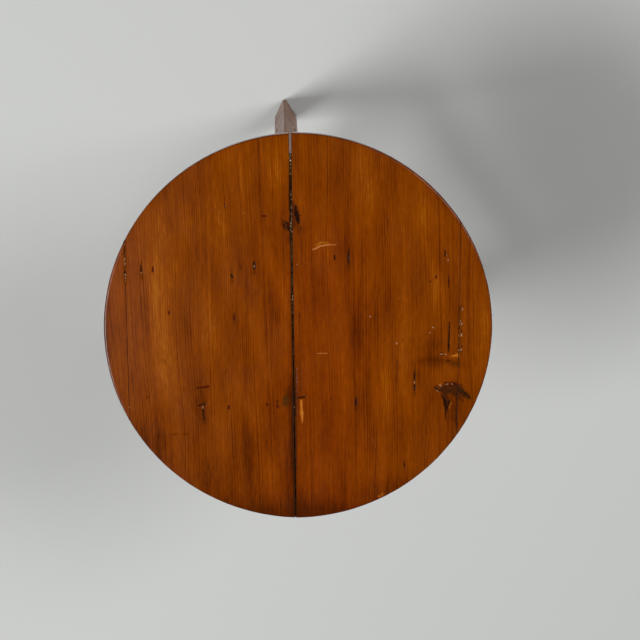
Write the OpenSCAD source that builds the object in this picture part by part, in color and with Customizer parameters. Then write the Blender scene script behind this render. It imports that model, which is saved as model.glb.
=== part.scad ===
// Round-topped three-legged country table in old pine.
// Millimetres, +Z up, origin on the floor under the middle of the top.
// One leg stands at the back (+Y), the other two at the front left and right.

/* [Top] */
// Width of the round top along the grain
top_length = 635; // [600:1:700]
// How far each half of the top has drawn in across the grain
top_shrink = 5; // [0:0.5:8]
// Thickness of the boards
top_thickness = 21; // [18:0.5:26]
// Radius worn on the upper edge of the rim
rim_round = 3.5; // [1:0.5:6]
// Radius on the lower edge of the rim
rim_under_round = 2; // [0.5:0.5:4]
// Turn of the boards over the frame, clockwise seen from above
top_turn = 3.6; // [0:0.2:10]
// Width of the left edge board at its widest, from its joint to the rim
left_edge_width = 37.5; // [31:0.5:50]
// Main joint, to the left of the middle
main_joint = 9; // [0:1:20]
// Width of the right edge board at its widest, from its joint to the rim
right_edge_width = 54.5; // [42:0.5:63]
// Drift of the main joint over its length, leftwards at the back
main_joint_drift = 6; // [0:1:12]
// Opening of the main joint at the back
main_gap_back = 3.8; // [1:0.2:6]
// Opening of the main joint at the front
main_gap_front = 1.6; // [0.4:0.2:4]
// Opening of the two edge joints
edge_gap = 0.6; // [0.2:0.1:1.5]

/* [Legs] */
// Height of the table
table_height = 737; // [680:1:780]
// Reach of the sharp corner of a foot from the frame's middle
foot_reach = 313; // [290:1:320]
// Reach of the same corner under the top
leg_top_reach = 277; // [250:1:288]
// How far the frame sits behind the middle of the top
frame_offset = 8; // [0:1:12]
// Width of each outer face of a leg
leg_face = 45; // [38:1:54]
// Width of the flat planed down a leg's outer corner
corner_flat = 5; // [1:0.5:9]

/* [Aprons] */
// Depth of the aprons under the top
apron_depth = 90; // [75:1:110]
// Thickness of the aprons
apron_thickness = 22; // [18:0.5:25]

/* [Stretchers] */
// Depth of the stretchers
stretcher_depth = 42; // [34:1:56]
// Thickness of the stretchers
stretcher_thickness = 19; // [16:0.5:22]
// Height of the stretchers' lower edge above the floor
stretcher_rise = 240; // [190:1:290]
// How far the stretchers lie behind the legs' outer faces
stretcher_setback = 1.5; // [0:0.5:3]

/* [Tenons] */
// Thickness of every tenon
tenon_thickness = 8; // [6:0.5:9]
// Depth of every tenon behind the leg's outer face
tenon_setback = 6.5; // [5:0.5:7.5]
// Length of every tenon
tenon_length = 26; // [16:1:28]
// Space left past the end of a tenon in its mortise
mortise_spare = 1; // [0.5:0.5:3]
// Space between two tenons where their mitred ends meet
mitre_gap = 0.8; // [0.4:0.2:2]
// Wood left above an apron's tenon
apron_haunch = 14; // [10:1:20]
// Wood left below an apron's tenon
apron_shoulder = 8; // [5:1:14]
// Wood left above and below a stretcher's tenon
stretcher_shoulder = 6; // [4:0.5:8]

/* [Pegs] */
// Diameter of the pegs
peg_diameter = 7; // [5:0.5:8]
// Distance of the pegs from the tenon's shoulder
peg_inset = 11; // [8:0.5:13]
// Depth of the pegs in the leg
peg_reach = 17; // [16:0.5:20]
// How far the pegs stand out of the leg
peg_proud = 1; // [0.5:0.1:2]
// Bevel round the outer end of a peg
peg_bevel = 0.6; // [0.2:0.1:0.8]
// Distance between the two pegs of an apron's tenon
peg_pitch = 30; // [24:1:36]
// Difference in height between the pegs of the two faces of a leg
peg_stagger = 9; // [8.5:0.5:11]

/* [Top fixings] */
// Diameter of the nails
nail_diameter = 3.2; // [2.5:0.1:4]
// Length of the nails
nail_length = 52; // [40:1:65]
// Diameter of the nail heads
nail_head = 6.4; // [5:0.2:8]
// Thickness of the nail heads
nail_head_thickness = 1.2; // [0.8:0.1:2]
// How far the nail heads are punched below the boards
nail_sunk = 0.8; // [0.2:0.1:2]
// Length of a nail's point
nail_point = 6; // [3:0.5:10]
// Diameter of the hidden dowels in the board joints
dowel_diameter = 9; // [6:0.5:11]
// Length of the dowels in the main joint
main_dowel_length = 60; // [40:1:80]
// Wood left between an edge joint's dowels and the rim
dowel_cover = 9; // [6:1:12]
// Distance of the left joint's dowels from the middle of the joint
left_dowel_place = 80; // [50:1:95]
// Distance of the right joint's dowels from the middle of the joint
right_dowel_place = 100; // [60:1:120]

/* [Clearances] */
// Clearance round tenons, pegs, nails and dowels
fit_gap = 0.1; // [0.05:0.05:0.3]

/* [Hidden] */
$fn = 96;

// A side of the frame lies a sixth of a turn from the legs at its ends
TO_LEG = 360 / 6;
// Directions of the legs and of the three sides of the frame, as angles from +X
BACK_LEG = 90;
LEFT_LEG = BACK_LEG + 2 * TO_LEG;
RIGHT_LEG = BACK_LEG - 2 * TO_LEG;
BACK_RIGHT = BACK_LEG - TO_LEG;
BACK_LEFT = BACK_LEG + TO_LEG;
FRONT = BACK_LEG + 3 * TO_LEG;

// Places of the nails along the aprons, from the middle of each side
nails_on_back_right = [-112, -25, 49];
nails_on_back_left = [-136, -36, 120];
nails_on_front = [-121, -43, 86];
// Places of the dowels along the main joint, from the middle of the top
main_dowel_places = [-205, 52, 169];

pine = [0.49, 0.24, 0.05];
pine_edge = [0.43, 0.20, 0.04];
leg_pine = [0.42, 0.21, 0.06];
rail_pine = [0.46, 0.24, 0.08];
peg_oak = [0.33, 0.17, 0.06];
dowel_beech = [0.72, 0.54, 0.32];
iron = [0.20, 0.18, 0.17];

top_radius = top_length / 2;
// Places of the two edge joints, to the left and right of the middle
left_joint = top_radius - top_shrink - left_edge_width;
right_joint = top_radius - top_shrink - right_edge_width;
underside = table_height - top_thickness;
// Lean of a leg outwards, and of the flat sides that the legs' outer faces share
splay = atan((foot_reach - leg_top_reach) / underside);
side_lean = atan((foot_reach - leg_top_reach) / 2 / underside);
// Half the angle between a leg's outer faces, square across the leaning leg
corner_half = atan(tan(30) / cos(splay));
apron_base = underside - apron_depth;
// Cuts run this far past the faces that they open
overrun = 5;
// Steps in each rounded edge of the rim
rim_steps = 5;
// Share of a leg's face that a rail's blank runs into before the leg is cut from it
rail_lap = 0.4;
// Width left at the end of a nail's point
nail_tip = nail_diameter / 4;
// A box that holds the whole table
reach_all = foot_reach + top_length;

// Reach of a leg's sharp outer corner at a height
function corner_reach(z) = foot_reach - (foot_reach - leg_top_reach) * z / underside;
// Half the length of a side of the frame at a height, from corner to corner
function half_side(z) = corner_reach(z) * cos(30);
// Half the clear length of a side between its two legs
function half_span(z) = half_side(z) - leg_face;
// Distance of the rim from the middle, across the grain, at a place along it
function rim_across(y) = sqrt(top_radius * top_radius - y * y) - top_shrink;

// Everything of the top is drawn with the grain along Y, then turned over the frame
module on_top() {
    translate([0, 0, underside]) rotate([0, 0, -top_turn]) children();
}

// Everything of the frame is drawn round its own middle, then set back under the top
module in_frame() {
    translate([0, frame_offset, 0]) children();
}

// A quarter round in small steps, from one angle to the other
function quarter(x, z, radius, from, to) =
    [for (i = [0:rim_steps]) let (a = from + (to - from) * i / rim_steps)
        [x + radius * cos(a), z + radius * sin(a)]];

// A full round board with worn edges; shift moves its middle across the grain
module round_top(shift) {
    translate([shift, 0, 0]) rotate_extrude() polygon(concat(
        [[0, 0]],
        quarter(top_radius - rim_under_round, rim_under_round, rim_under_round, -90, 0),
        quarter(top_radius - rim_round, top_thickness - rim_round, rim_round, 0, 90),
        [[0, top_thickness]]
    ));
}

// The strip of the top between two joints, each given by its places at the back and front
module strip(left_back, left_front, right_back, right_front) {
    translate([0, 0, -overrun]) linear_extrude(top_thickness + 2 * overrun)
        polygon([[left_front, -top_length], [right_front, -top_length],
                 [right_back, top_length], [left_back, top_length]]);
}

// Place of the main joint's edges; side is -1 for the left board and 1 for the right
// The gap and the drift are measured at the rim, so the lines run on past it
function main_edge(side, end) =
    -main_joint - end * main_joint_drift
    + side * ((main_gap_back + main_gap_front) / 4 + end * (main_gap_back - main_gap_front) / 2);

// One board of the top, with the holes of the nails and dowels that enter it
module top_board(shift, left_back, left_front, right_back, right_front) {
    difference() {
        on_top() intersection() {
            round_top(shift);
            strip(left_back, left_front, right_back, right_front);
        }
        children();
    }
}

module left_dowels(extra = 0) {
    dowel_pair(-left_joint, left_dowel_place, rim_across(left_dowel_place) - left_joint, extra);
}

module right_dowels(extra = 0) {
    dowel_pair(right_joint, right_dowel_place, rim_across(right_dowel_place) - right_joint, extra);
}

// Two dowels across an edge joint; depth is the wood between the joint and the rim there
module dowel_pair(x, place, depth, extra) {
    for (end = [-1, 1])
        on_top() dowel(x, end * place, 2 * (depth - dowel_cover), extra);
}

module main_dowels(extra = 0) {
    for (place = main_dowel_places)
        on_top() dowel(-main_joint - place * main_joint_drift / top_length,
                       place, main_dowel_length, extra);
}

// A dowel in the middle of the boards' thickness; extra widens and lengthens it to its hole
module dowel(x, y, length, extra) {
    translate([x - length / 2 - extra, y, top_thickness / 2]) rotate([0, 90, 0])
        cylinder(d = dowel_diameter + 2 * extra, h = length + 2 * extra);
}

// The nails of one side of the frame, driven down through the boards into the apron
module nails(side, places, extra = 0) {
    for (place = places) rotate([0, 0, side])
        translate([corner_reach(underside) / 2 - apron_thickness / 2, place, table_height - nail_sunk])
            nail(extra);
}

// A nail hangs down from its head; extra widens it to its hole, open at the top
module nail(extra) {
    head_top = extra > 0 ? nail_sunk + overrun : 0;
    translate([0, 0, -nail_head_thickness - extra])
        cylinder(d = nail_head + 2 * extra, h = nail_head_thickness + extra + head_top);
    translate([0, 0, -nail_length + nail_point])
        cylinder(d = nail_diameter + 2 * extra, h = nail_length - nail_point);
    translate([0, 0, -nail_length - extra])
        cylinder(d1 = nail_tip, d2 = nail_diameter + 2 * extra, h = nail_point + extra);
}

module all_nails(extra = 0) {
    nails(BACK_RIGHT, nails_on_back_right, extra);
    nails(BACK_LEFT, nails_on_back_left, extra);
    nails(FRONT, nails_on_front, extra);
}

// Section of a leg: two outer faces at sixty degrees, and inner faces square to them
function leg_section() = let (
    depth = corner_flat / 2 / tan(corner_half),
    side_x = -leg_face * cos(corner_half),
    side_y = leg_face * sin(corner_half)
) [
    [-depth, -corner_flat / 2], [side_x, -side_y], [-leg_face / cos(corner_half), 0],
    [side_x, side_y], [-depth, corner_flat / 2]
];

// A leg before it is cut to length, with its sharp corner at the foot's reach on the floor
module leg_blank(leg) {
    rotate([0, 0, leg]) translate([foot_reach, 0, 0]) rotate([0, -splay, 0])
        translate([0, 0, -overrun - leg_face])
            linear_extrude(table_height + 2 * leg_face) polygon(leg_section());
}

// The layer between the floor and the underside of the top
module under_top() {
    translate([-reach_all / 2, -reach_all / 2, 0]) cube([reach_all, reach_all, underside]);
}

// Frame of a side at a height: x out of the legs' outer faces, y along the side, z up the faces
module on_side(side, base) {
    rotate([0, 0, side]) translate([corner_reach(base) / 2, 0, base])
        rotate([0, -side_lean, 0]) children();
}

// The far side of a leg's middle plane, seen from the rail at that end
module past_mitre(side, end) {
    rotate([0, 0, side + end * TO_LEG])
        translate([0, end > 0 ? -mitre_gap / 2 : mitre_gap / 2 - reach_all, 0])
            cube([reach_all, reach_all, table_height]);
}

// Both tenons of a rail, or with extra their mortises, which aren't mitred
module tenons(side, base, low, high, extra = 0) {
    middle = base + (low + high) / 2;
    spare = extra > 0 ? mortise_spare : 0;
    for (end = [-1, 1]) difference() {
        on_side(side, base) mirror([0, end < 0 ? 1 : 0, 0])
            translate([-tenon_setback - tenon_thickness - extra, half_span(middle) - overrun, low - extra])
                cube([tenon_thickness + 2 * extra, tenon_length + spare + overrun, high - low + 2 * extra]);
        if (extra == 0) past_mitre(side, end);
    }
}

// The pegs at one end of a rail; heights are above the rail's lower edge
module pegs(side, end, base, heights, extra = 0) {
    for (height = heights) {
        up = height + end * peg_stagger / 2;
        out = extra > 0 ? overrun : 0;
        on_side(side, base) translate([0, end * (half_span(base + up) + peg_inset), up])
            rotate([0, 90, 0]) union() {
                translate([0, 0, -peg_reach - extra])
                    cylinder(d = peg_diameter + 2 * extra, h = peg_reach + extra + out);
                if (extra == 0)
                    cylinder(d1 = peg_diameter, d2 = peg_diameter - 2 * peg_bevel, h = peg_proud);
            }
    }
}

apron_peg_middle = (apron_depth - apron_haunch + apron_shoulder) / 2;
apron_peg_heights = [apron_peg_middle - peg_pitch / 2, apron_peg_middle + peg_pitch / 2];
stretcher_peg_heights = [stretcher_depth / 2];

module apron_tenons(side, extra = 0) {
    tenons(side, apron_base, apron_shoulder, apron_depth - apron_haunch, extra);
}

module stretcher_tenons(side, extra = 0) {
    tenons(side, stretcher_rise, stretcher_shoulder, stretcher_depth - stretcher_shoulder, extra);
}

module apron_pegs(side, end, extra = 0) {
    pegs(side, end, apron_base, apron_peg_heights, extra);
}

module stretcher_pegs(side, end, extra = 0) {
    pegs(side, end, stretcher_rise, stretcher_peg_heights, extra);
}

// A leg with its mortises and peg holes; the rails lie on the sides before and after it
module leg(leg) {
    color(leg_pine) difference() {
        intersection() {
            leg_blank(leg);
            under_top();
        }
        for (end = [-1, 1]) {
            side = leg - end * TO_LEG;
            apron_tenons(side, fit_gap);
            stretcher_tenons(side, fit_gap);
            apron_pegs(side, end, fit_gap);
            stretcher_pegs(side, end, fit_gap);
        }
    }
}

// The board of a rail between the legs, cut to the legs' inner faces
module rail_board(side, base, depth, thickness, setback) {
    half = half_span(base) + leg_face * rail_lap;
    difference() {
        on_side(side, base) translate([-setback - thickness, -half, 0])
            cube([thickness, 2 * half, depth]);
        leg_blank(side - TO_LEG);
        leg_blank(side + TO_LEG);
    }
}

module apron(side, nail_places) {
    color(rail_pine) difference() {
        intersection() {
            union() {
                rail_board(side, apron_base, apron_depth + overrun, apron_thickness, 0);
                apron_tenons(side);
            }
            under_top();
        }
        apron_pegs(side, -1, fit_gap);
        apron_pegs(side, 1, fit_gap);
        nails(side, nail_places, fit_gap);
    }
}

module stretcher(side) {
    color(rail_pine) difference() {
        union() {
            rail_board(side, stretcher_rise, stretcher_depth, stretcher_thickness, stretcher_setback);
            stretcher_tenons(side);
        }
        stretcher_pegs(side, -1, fit_gap);
        stretcher_pegs(side, 1, fit_gap);
    }
}

// The pegs driven into the two outer faces of one leg
module leg_apron_pegs(leg) {
    color(peg_oak) for (end = [-1, 1]) apron_pegs(leg - end * TO_LEG, end);
}

module leg_stretcher_pegs(leg) {
    color(peg_oak) for (end = [-1, 1]) stretcher_pegs(leg - end * TO_LEG, end);
}

module top_board_left_edge() {
    edge = -left_joint - edge_gap / 2;
    color(pine_edge) top_board(top_shrink, -top_length, -top_length, edge, edge) left_dowels(fit_gap);
}

module top_board_left() {
    edge = -left_joint + edge_gap / 2;
    color(pine) top_board(top_shrink, edge, edge, main_edge(-1, 1), main_edge(-1, -1)) {
        left_dowels(fit_gap);
        main_dowels(fit_gap);
        in_frame() all_nails(fit_gap);
    }
}

module top_board_right() {
    edge = right_joint - edge_gap / 2;
    color(pine) top_board(-top_shrink, main_edge(1, 1), main_edge(1, -1), edge, edge) {
        right_dowels(fit_gap);
        main_dowels(fit_gap);
        in_frame() all_nails(fit_gap);
    }
}

module top_board_right_edge() {
    edge = right_joint + edge_gap / 2;
    color(pine_edge) top_board(-top_shrink, edge, edge, top_length, top_length) right_dowels(fit_gap);
}

module dowels_left_joint() { color(dowel_beech) left_dowels(); }
module dowels_main_joint() { color(dowel_beech) main_dowels(); }
module dowels_right_joint() { color(dowel_beech) right_dowels(); }

module leg_back() { in_frame() leg(BACK_LEG); }
module leg_left() { in_frame() leg(LEFT_LEG); }
module leg_right() { in_frame() leg(RIGHT_LEG); }

module apron_back_right() { in_frame() apron(BACK_RIGHT, nails_on_back_right); }
module apron_back_left() { in_frame() apron(BACK_LEFT, nails_on_back_left); }
module apron_front() { in_frame() apron(FRONT, nails_on_front); }

module stretcher_back_right() { in_frame() stretcher(BACK_RIGHT); }
module stretcher_back_left() { in_frame() stretcher(BACK_LEFT); }
module stretcher_front() { in_frame() stretcher(FRONT); }

module apron_pegs_back() { in_frame() leg_apron_pegs(BACK_LEG); }
module apron_pegs_left() { in_frame() leg_apron_pegs(LEFT_LEG); }
module apron_pegs_right() { in_frame() leg_apron_pegs(RIGHT_LEG); }

module stretcher_pegs_back() { in_frame() leg_stretcher_pegs(BACK_LEG); }
module stretcher_pegs_left() { in_frame() leg_stretcher_pegs(LEFT_LEG); }
module stretcher_pegs_right() { in_frame() leg_stretcher_pegs(RIGHT_LEG); }

module nails_back_right() { color(iron) in_frame() nails(BACK_RIGHT, nails_on_back_right); }
module nails_back_left() { color(iron) in_frame() nails(BACK_LEFT, nails_on_back_left); }
module nails_front() { color(iron) in_frame() nails(FRONT, nails_on_front); }

top_board_left_edge();
top_board_left();
top_board_right();
top_board_right_edge();
dowels_left_joint();
dowels_main_joint();
dowels_right_joint();
leg_back();
leg_left();
leg_right();
apron_back_right();
apron_back_left();
apron_front();
stretcher_back_right();
stretcher_back_left();
stretcher_front();
apron_pegs_back();
apron_pegs_left();
apron_pegs_right();
stretcher_pegs_back();
stretcher_pegs_left();
stretcher_pegs_right();
nails_back_right();
nails_back_left();
nails_front();
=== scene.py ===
# A round plank table on three splayed legs, in old shellacked pine, seen as the photograph shows its top.
# Sizes are millimetres in each piece's own frame, and finished pieces are set into the row frame in metres.

import math
import random

import bmesh
import bpy
from mathutils import Matrix, Vector, noise


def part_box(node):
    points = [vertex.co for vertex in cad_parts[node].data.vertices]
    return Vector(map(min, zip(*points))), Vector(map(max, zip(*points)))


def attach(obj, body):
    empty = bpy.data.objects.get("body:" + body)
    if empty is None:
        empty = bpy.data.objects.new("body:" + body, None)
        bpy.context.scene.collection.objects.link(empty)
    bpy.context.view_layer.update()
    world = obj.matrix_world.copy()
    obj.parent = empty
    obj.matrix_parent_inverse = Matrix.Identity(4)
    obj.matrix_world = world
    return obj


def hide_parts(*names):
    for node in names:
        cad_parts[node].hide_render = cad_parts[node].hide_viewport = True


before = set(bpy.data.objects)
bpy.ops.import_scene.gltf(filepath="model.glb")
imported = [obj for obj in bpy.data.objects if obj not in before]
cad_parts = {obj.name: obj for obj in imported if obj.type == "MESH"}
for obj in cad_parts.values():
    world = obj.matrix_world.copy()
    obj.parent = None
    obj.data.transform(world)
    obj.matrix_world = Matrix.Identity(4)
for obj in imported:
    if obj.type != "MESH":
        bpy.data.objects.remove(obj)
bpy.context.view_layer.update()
scene = bpy.context.scene

# The viewpoint
# The photograph looks at the round top almost square on, from 2.4 m away, a little towards the back leg.
CAMERA_PLACE = Vector((0.0128, 0.5391, 3.0584))
CAMERA_FORWARD = Vector((0.00952, -0.21979, -0.9755)).normalized()
CAMERA_UP = Vector((0.06829, 0.97341, -0.21865)).normalized()
CAMERA_LENS = 83.42

camera = bpy.data.objects.new("photo_camera", bpy.data.cameras.new("photo_camera"))
camera.data.lens = CAMERA_LENS
camera_right = CAMERA_FORWARD.cross(CAMERA_UP).normalized()
camera_turn = Matrix((camera_right, camera_right.cross(CAMERA_FORWARD), -CAMERA_FORWARD)).transposed()
camera.matrix_world = Matrix.Translation(CAMERA_PLACE) @ camera_turn.to_4x4()
scene.collection.objects.link(camera)
scene.camera = camera

# The three legs
# Straight lengths of old pine, square on the inside and planed to sixty degrees outside, with the sharp
# corner taken off. They lean outwards, and the aprons and stretchers are tenoned and pegged into them.
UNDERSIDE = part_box("leg_back")[1].z * 1000
FOOT_REACH = 313
LEG_TOP_REACH = 277
FRAME_OFFSET = 8
LEG_FACE = 45
CORNER_FLAT = 5
LEG_ARRIS = 1.6
FOOT_ARRIS = 0.9
LEG_DENTS = 26
# How much too long a leg is drawn, at each end, before it is cut off level
LEG_SPARE = 50
LEG_ANGLES = {"leg_back": 90, "leg_left": 210, "leg_right": 330}
SPLAY = math.atan((FOOT_REACH - LEG_TOP_REACH) / UNDERSIDE)
CORNER_HALF = math.atan(math.tan(math.radians(30)) / math.cos(SPLAY))
# Grime darkens a foot and fades out up the leg
FOOT_GRIME = 0.45
FOOT_GRIME_RISE = 18
# The middle of the corner flat is rubbed through the polish to brown wood
RUBBED_WOOD = "#98786A"
RUBBED_COVER = 0.6
RUBBED_HALF_WIDTH = 2
# Shellac over pine gone brown with age: dark growth lines, brown, mid brown, amber, and worn amber
LEG_TONES = ["#3A1B04", "#5B2C05", "#6F3907", "#7F450B", "#965A19"]
# Growth lines in a board: how they slant to its face, how far they sway, how unevenly they are spaced, and
# the shares of a year's growth at which the dark late wood starts and is darkest
GROWTH_SLANT = (0.97, 0, 0.24)
GROWTH_SWAY = 26
GROWTH_UNEVEN = 16
LATE_WOOD = (0.5, 0.88)
# Where the noises of the wood sit in the row of tones, and the tint of wood that has turned redder
MIDDLE_TONE = 0.56
RUDDY_TINT = (1, 0.8, 0.6, 1)
# A hand plane's waves, how far round a stick it is, and how far apart in the grain two sticks are cut
PLANE_WAVE = 0.18
GIRTH = 90
OWN_WOOD = (37, 411, 19)
# Faces of a stick's mesh, along it and across it, and how near a level counts as on it
ALONG_STEP = 7
ACROSS_STEP = 8
CLOSE = 0.01


def linear(hex_colour):
    """An sRGB hex colour as linear light, with an alpha of 1."""
    parts = [int(hex_colour[i:i + 2], 16) / 255 for i in (1, 3, 5)]
    return [c / 12.92 if c <= 0.04045 else ((c + 0.055) / 1.055) ** 2.4 for c in parts] + [1]


def add(tree, kind, inputs=None, **settings):
    """Adds a shader node. An input is a value, another node's output, or a node, for its first output."""
    node = tree.nodes.new("ShaderNode" + kind)
    for key, value in settings.items():
        setattr(node, key, value)
    for key, value in (inputs or {}).items():
        if isinstance(value, bpy.types.Node):
            value = value.outputs[0]
        if isinstance(value, bpy.types.NodeSocket):
            tree.links.new(value, node.inputs[key])
        else:
            node.inputs[key].default_value = value
    return node


def new_material(name):
    """An empty material and its node tree."""
    material = bpy.data.materials.new(name)
    material.use_nodes = True
    material.node_tree.nodes.clear()
    return material, material.node_tree


def pine(name, tones, roughness, shine, relief_mm, growth_mm=3.0):
    """Old softwood, patterned by the piece's own millimetres across, along and into the wood."""
    material, tree = new_material(name)
    place = add(tree, "Attribute", attribute_name="grain").outputs["Vector"]

    def grain_noise(width, length, detail):
        """Noise drawn out along the grain, as wide and as long as these millimetres."""
        shares = (1 / width, 1 / length, 1 / width)
        drawn = add(tree, "VectorMath", {0: place, 1: shares}, operation="MULTIPLY")
        return add(tree, "TexNoise", {"Vector": drawn, "Scale": 1, "Detail": detail})

    def blend(base, source, amount):
        """Adds a noise about its middle to a running value."""
        lowered = add(tree, "Math", {0: base, 1: amount / 2}, operation="SUBTRACT")
        return add(tree, "Math", {0: source, 1: amount, 2: lowered}, operation="MULTIPLY_ADD")

    # Growth lines: flat layers across the board, a few millimetres apart, that sway a little along the grain
    across = add(tree, "VectorMath", {0: place, 1: GROWTH_SLANT}, operation="DOT_PRODUCT").outputs["Value"]
    swayed = add(tree, "Math", {0: grain_noise(80, 420, 1), 1: GROWTH_SWAY, 2: across},
                 operation="MULTIPLY_ADD")
    uneven = add(tree, "TexNoise", {"W": swayed, "Scale": 0.05, "Detail": 1}, noise_dimensions="1D")
    spaced = add(tree, "Math", {0: uneven, 1: GROWTH_UNEVEN, 2: swayed}, operation="MULTIPLY_ADD")
    years = add(tree, "Math", {0: spaced, 1: growth_mm}, operation="DIVIDE")
    line = add(tree, "ValToRGB", {0: add(tree, "Math", {0: years}, operation="FRACT")})
    line.color_ramp.elements[0].position = LATE_WOOD[0]
    line.color_ramp.elements[1].position = LATE_WOOD[1]
    line.color_ramp.elements.new(1.0).color = (0, 0, 0, 1)
    strength = add(tree, "MapRange", {0: grain_noise(16, 260, 2), 1: 0.34, 2: 0.64, 3: 0.08, 4: 0.38})
    lines = add(tree, "Math", {0: line, 1: strength}, operation="MULTIPLY")

    # Broad clouds, stripes, fibres, short flecks and small blotches
    fibre = grain_noise(1.1, 200, 3)
    own_tone = add(tree, "Attribute", attribute_name="tone").outputs["Fac"]
    level = add(tree, "Math", {0: own_tone, 1: MIDDLE_TONE}, operation="ADD")
    for source, amount in ((grain_noise(30, 100, 2), 0.6), (grain_noise(8, 170, 1), 0.3), (fibre, 0.75),
                           (grain_noise(1.2, 22, 2), 0.4), (grain_noise(4, 14, 3), 0.4)):
        level = blend(level, source, amount)
    wood = add(tree, "ValToRGB", {0: add(tree, "Math", {0: level, 1: lines}, operation="SUBTRACT")})
    ramp = wood.color_ramp.elements
    ramp.remove(ramp[0])
    for i, tone in enumerate(tones):
        stop = ramp[0] if i == 0 else ramp.new(i / (len(tones) - 1))
        stop.position = i / (len(tones) - 1)
        stop.color = linear(tone)

    # Some of the wood has turned redder than the rest
    ruddy = add(tree, "Attribute", attribute_name="ruddy").outputs["Fac"]
    wood = add(tree, "Mix", {0: ruddy, 6: wood, 7: RUDDY_TINT}, data_type="RGBA", blend_type="MULTIPLY")

    # Holes, knots, grime and bare wood, painted on the piece itself. The colour is kept times its cover, and
    # fine grit breaks up the edges of the cover.
    marks = add(tree, "Attribute", attribute_name="marks")
    cover = marks.outputs["Alpha"]
    paint = add(tree, "VectorMath", {0: marks.outputs["Color"], 1: cover}, operation="DIVIDE")
    gritty = add(tree, "MapRange", {0: blend(cover, grain_noise(0.9, 3, 2), 0.6), 1: 0.1, 2: 0.9})
    painted = add(tree, "Math", {0: cover, 1: 0.02}, operation="GREATER_THAN")
    seen = add(tree, "Math", {0: gritty, 1: painted}, operation="MULTIPLY")
    colour = add(tree, "Mix", {0: seen, 6: wood.outputs[2], 7: paint}, data_type="RGBA")

    # The polish is thin and uneven, and there is none in holes and dirt
    gloss = add(tree, "MapRange", {0: grain_noise(45, 80, 3), 1: 0.3, 2: 0.7, 3: roughness - 0.05,
                                   4: roughness + 0.07})
    dulled = add(tree, "Math", {0: seen, 1: 0.35, 2: gloss}, operation="MULTIPLY_ADD")
    polish = add(tree, "MapRange", {0: seen, 2: 0.15, 3: shine, 4: 0.03})
    height = add(tree, "Math", {0: lines, 1: 1.2, 2: fibre}, operation="MULTIPLY_ADD")
    relief = add(tree, "Bump", {"Strength": 1, "Distance": relief_mm / 1000, "Height": height})
    shader = add(tree, "BsdfPrincipled", {"Base Color": colour.outputs[2], "Roughness": dulled, "IOR": 1.5,
                                          "Specular IOR Level": polish, "Normal": relief})
    add(tree, "OutputMaterial", {"Surface": shader})
    return material


def ripple(*place):
    """Smooth noise about nought at a place."""
    return noise.noise(Vector(place))


def cut(bm, place, outward, near, drop=False):
    """Cuts a mesh all through along a plane, and may drop what lies outward of it."""
    bmesh.ops.bisect_plane(bm, geom=bm.verts[:] + bm.edges[:] + bm.faces[:], dist=near,
                           plane_co=place, plane_no=outward, clear_outer=drop)


def saw(bm, place, outward):
    """Saws off what lies outward of a plane, and closes the cut."""
    cut(bm, place, outward, 0.001, drop=True)
    bmesh.ops.holes_fill(bm, edges=[e for e in bm.edges if e.is_boundary], sides=0)


def slice_across(bm, axis, places):
    """Cuts edge loops into a mesh at these places along an axis."""
    normal = [0, 0, 0]
    normal[axis] = 1
    for place in places:
        cut(bm, [place * n for n in normal], normal, 0.05)


def steps(start, end, length):
    """Places about a length apart, strictly between a start and an end."""
    count = max(1, round((end - start) / length))
    return [start + (end - start) * i / count for i in range(1, count)]


def raise_up(bm, height):
    """Makes a flat outline a solid of this height."""
    raised = bmesh.ops.extrude_face_region(bm, geom=bm.faces[:], use_keep_orig=True)
    corners = [part for part in raised["geom"] if isinstance(part, bmesh.types.BMVert)]
    bmesh.ops.translate(bm, vec=(0, 0, height), verts=corners)


def long_edges(bm, axis):
    """The sharp edges that run along an axis."""
    return [e for e in bm.edges if e.is_manifold and e.calc_face_angle(0) > 0.2
            and abs((e.verts[0].co - e.verts[1].co).normalized()[axis]) > 0.9]


def soften(bm, edges, width, segments=3):
    """Rounds edges that a hand plane and years of use have worn."""
    return bmesh.ops.bevel(bm, geom=edges, offset=width, segments=segments, profile=0.5,
                           affect="EDGES", material=-1, clamp_overlap=True)


def set_down(bm, name, to_room, materials, nodes, crease=0.6):
    """Makes a modelled piece an object of the table, in metres, in place of its plain CAD nodes."""
    bm.transform(Matrix.Scale(0.001, 4) @ to_room)
    bmesh.ops.recalc_face_normals(bm, faces=bm.faces[:])
    for face in bm.faces:
        face.smooth = True
    for edge in bm.edges:
        edge.smooth = edge.calc_face_angle(0) < crease
    mesh = bpy.data.meshes.new(name)
    bm.to_mesh(mesh)
    bm.free()
    for material in materials:
        mesh.materials.append(material)
    piece = bpy.data.objects.new(name, mesh)
    scene.collection.objects.link(piece)
    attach(piece, "root")
    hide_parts(*nodes)


def dent_list(seed, count, low, high):
    """Knocks along a stick: where along it, where round it, how wide and how deep."""
    draw = random.Random(seed)
    return [(draw.uniform(low, high), draw.random(), draw.uniform(3, 8), draw.uniform(0.3, 0.9))
            for _ in range(count)]


def new_wood():
    """An empty mesh whose corners hold their place in the grain, how dark and how red they are, and marks."""
    bm = bmesh.new()
    bm.verts.layers.float_vector.new("grain")
    bm.verts.layers.float.new("tone")
    bm.verts.layers.float.new("ruddy")
    bm.verts.layers.float_color.new("marks")
    return bm


def wood_layers(bm):
    """Those four layers of a mesh."""
    layers = bm.verts.layers
    return [layers.float_vector["grain"], layers.float["tone"], layers.float["ruddy"],
            layers.float_color["marks"]]


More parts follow.
